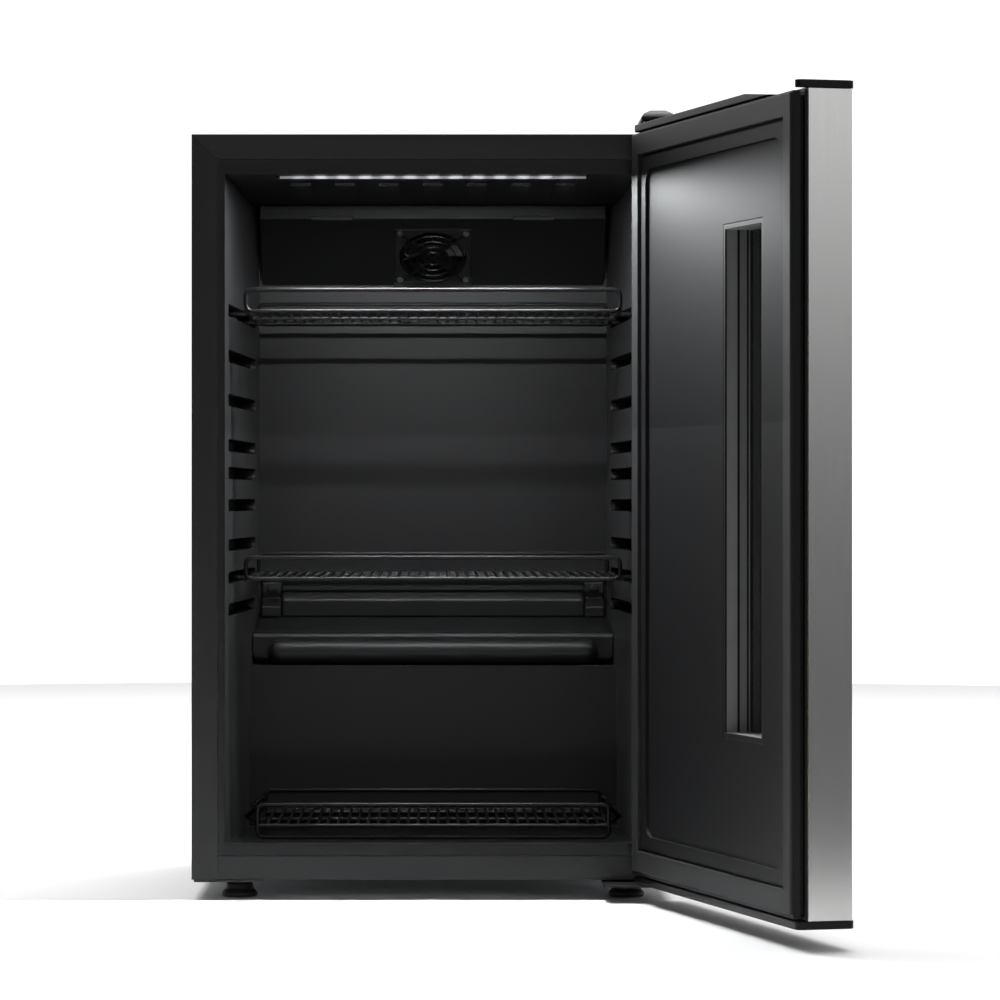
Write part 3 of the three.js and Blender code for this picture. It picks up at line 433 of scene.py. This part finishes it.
def wire_shelf(node):
    (_, y0, z0), (x1, y1, z1) = inside(node)
    reach = x1 - RUNNER_SHY
    front, back = y0 + RAIL, y1 - RAIL
    base = z0 + SHELF_BASE
    parts = end_loops(SHELF_HALF, front, back, base, z1 - RAIL)
    for side in (-1, 1):
        edge, runner = side * SHELF_HALF, side * reach
        parts.append(wire([(edge, RUNNER_FRONT, base), (runner, RUNNER_FRONT, base), (runner, RUNNER_BACK, base),
                           (edge, RUNNER_BACK, base)]))
        parts.append(wire([(edge, front, base), (edge, back, base)]))
    parts += cross_bars(SHELF_HALF, front, base, SHELF_BARS)
    parts += floor_wires(SHELF_HALF, front, back, base + FLOOR_WIRE, SHELF_WIRES)
    return finished(merged(parts, f"{node}_wires"), node, wire_coating, SMOOTH_WIRES)


def bottom_rack():
    (_, y0, z0), (x1, y1, z1) = inside("bottom_rack")
    front, back = y0 + RAIL, y1 - RAIL
    low, top = z0 + RAIL, z1 - RAIL
    floor = low + RACK_FLOOR
    flare = x1 - RUNNER_SHY
    arms = (front + ARM_FRONT, back - ARM_FRONT)
    parts = []
    for y, loop in zip((front, back), end_loops(RACK_HALF, front, back, low, top)):
        parts.append(loop)
        parts.append(wire([(-RACK_HALF, y, floor), (RACK_HALF, y, floor)]))
    for side in (-1, 1):
        edge, out = side * RACK_HALF, side * flare
        parts.append(wire([(edge, front, floor), (edge, back, floor)]))
        parts.append(wire([(edge, arms[0], floor), (edge, arms[0], top - 3),
                           (out, arms[0] + ARM_LEAN, floor + ARM_RISE), (out, arms[1] - ARM_LEAN, floor + ARM_RISE),
                           (edge, arms[1], top - 3), (edge, arms[1], floor)]))
        for y, lean in zip(arms, (ARM_LEAN, -ARM_LEAN)):
            parts.append(wire([(edge, y, floor), (side * (flare - 1), y + lean, floor + ARM_RISE)]))
    parts += cross_bars(RACK_HALF, front, floor, RACK_BARS)
    parts += floor_wires(RACK_HALF, front, back, floor + FLOOR_WIRE, RACK_WIRES)
    return finished(merged(parts, "bottom_rack_wires"), "bottom_rack", wire_coating, SMOOTH_WIRES)


wire_shelf("top_shelf")
wire_shelf("middle_shelf")
bottom_rack()


# ---------------------------------------------------------------- cabinet
refined("outer_shell", black_steel, 0.8)
refined("front_rail", black_steel, 0.4)
refined("inner_liner", liner_plastic, 1.6)
refined("back_panel", black_steel, 0.3)
refined("bottom_pan", zinc, 0.3)
kept("insulation_foam", foam_skin)
for plate in ("lower_hinge", "upper_hinge", "base_plate"):
    refined(plate, black_steel, 0.4)
refined("hinge_cover", black_plastic, 3.0, 5)
refined("light_housing", black_plastic, 0.5)
refined("light_diffuser", light_glow, 0.6)
refined("air_panel", liner_plastic, 0.8)
refined("fan_bracket", black_steel, 0.4)
refined("fan_housing", black_plastic, 0.5)
refined("fan_rotor", black_plastic, 0.4)
refined("rear_ledge", liner_plastic, 3.0, 5)
refined("coil_cover", liner_plastic, 2.0, 4)
refined("side_block_left", liner_plastic, 1.5)
refined("side_block_right", liner_plastic, 1.5)
refined("screw_cap_left", liner_plastic, 0.5)
refined("screw_cap_right", liner_plastic, 0.5)
refined("drip_trough", liner_plastic, 1.0)
refined("compressor", black_steel, 1.0)
refined("terminal_box", black_plastic, 1.5)
refined("power_inlet", black_plastic, 0.6)
kept("condenser_coil", black_steel)
for i in range(1, 5):
    refined(f"bracket_screw_{i}", zinc, 0.3)
    refined(f"foot_{i}", foot_rubber, 1.0)
kept("finger_guard", wire_coating)

# ---------------------------------------------------------------- door
refined("door_skin", stainless, 0.4)
kept("door_foam", foam_skin)
refined("door_panel", panel_plastic, 0.35, flat_faces=False)
refined("door_gasket", gasket_rubber, 0.8)
refined("top_cap", black_plastic, 2.4, 4)
refined("bottom_cap", black_plastic, 2.0, 4)
refined("glazing_frame", window_lining, 0.3)
refined("outer_glass", dark_glass, 0.3)
refined("inner_glass", clear_glass, 0.3)
refined("lower_bush", black_plastic, 0.3)
refined("upper_bush", black_plastic, 0.3)

# ---------------------------------------------------------------- stage
def area_light(name, place, target, size, power, colour=(1, 1, 1)):
    data = bpy.data.lights.new(name, "AREA")
    data.shape = "RECTANGLE"
    data.size, data.size_y = size
    data.energy = power
    data.color = colour
    lamp = bpy.data.objects.new(name, data)
    lamp.location = place
    lamp.rotation_euler = (Vector(target) - Vector(place)).to_track_quat("-Z", "Y").to_euler()
    bpy.context.scene.collection.objects.link(lamp)
    return lamp


def studio():
    bm = bmesh.new()
    radius, back, corners = 3.0, 2.05, 64
    turns = [math.tau * i / corners for i in range(corners)]
    bm.faces.new([bm.verts.new((radius * math.cos(t), back + radius * math.sin(t), 0)) for t in turns])
    floor = object_from(bm, "floor")
    floor.data.materials.append(surface("floor_paint", (0.92, 0.92, 0.92), 0.7, scale=3, vary=0.01, bump=0.02,
                                        specular=0.1))
    world = bpy.data.worlds.new("studio")
    world.use_nodes = True
    nodes, links = world.node_tree.nodes, world.node_tree.links
    place = nodes.new("ShaderNodeTexCoord")
    split = nodes.new("ShaderNodeSeparateXYZ")
    links.new(place.outputs["Generated"], split.inputs["Vector"])
    glow = nodes.new("ShaderNodeMapRange")
    glow.interpolation_type = "SMOOTHSTEP"
    glow.inputs["From Min"].default_value = 0.0
    glow.inputs["From Max"].default_value = 0.7
    glow.inputs["To Min"].default_value = 0.10
    glow.inputs["To Max"].default_value = 1.2
    links.new(split.outputs["Y"], glow.inputs["Value"])
    links.new(glow.outputs["Result"], nodes["Background"].inputs["Strength"])
    nodes["Background"].inputs["Color"].default_value = (1, 1, 1, 1)
    bpy.context.scene.world = world
    bpy.context.scene.view_settings.view_transform = "Standard"
    area_light("overhead", (0, 1.6, 3.6), (0, 1.2, 0), (4.5, 3.5), 230)
    area_light("front_soft", (2.0, -6.0, 2.3), (0.2, 0, 0.6), (7.5, 2.6), 58)
    strip_low, strip_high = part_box("light_diffuser")
    strip = (strip_low + strip_high) / 2
    strip.z = strip_low.z - 0.4 * MM
    lamp = area_light("light_strip", strip, strip + Vector((0, 0, -1)), (0.29, 0.026), 7.5, (0.95, 0.98, 1.0))
    lamp.visible_camera = False
    area_light("side_soft", (2.8, -1.4, 1.7), (0.2, 0, 0.4), (1.0, 1.6), 8)


def camera():
    distance, eye_height = 4174, 397.5
    data = bpy.data.cameras.new("camera")
    data.sensor_width = 36
    data.lens = 151.2
    data.shift_x = 0.067
    data.clip_end = 60
    eye = bpy.data.objects.new("camera", data)
    eye.location = at(0, -distance, eye_height)
    eye.rotation_euler = (math.pi / 2, 0, 0)
    bpy.context.scene.collection.objects.link(eye)
    bpy.context.scene.camera = eye


studio()
camera()
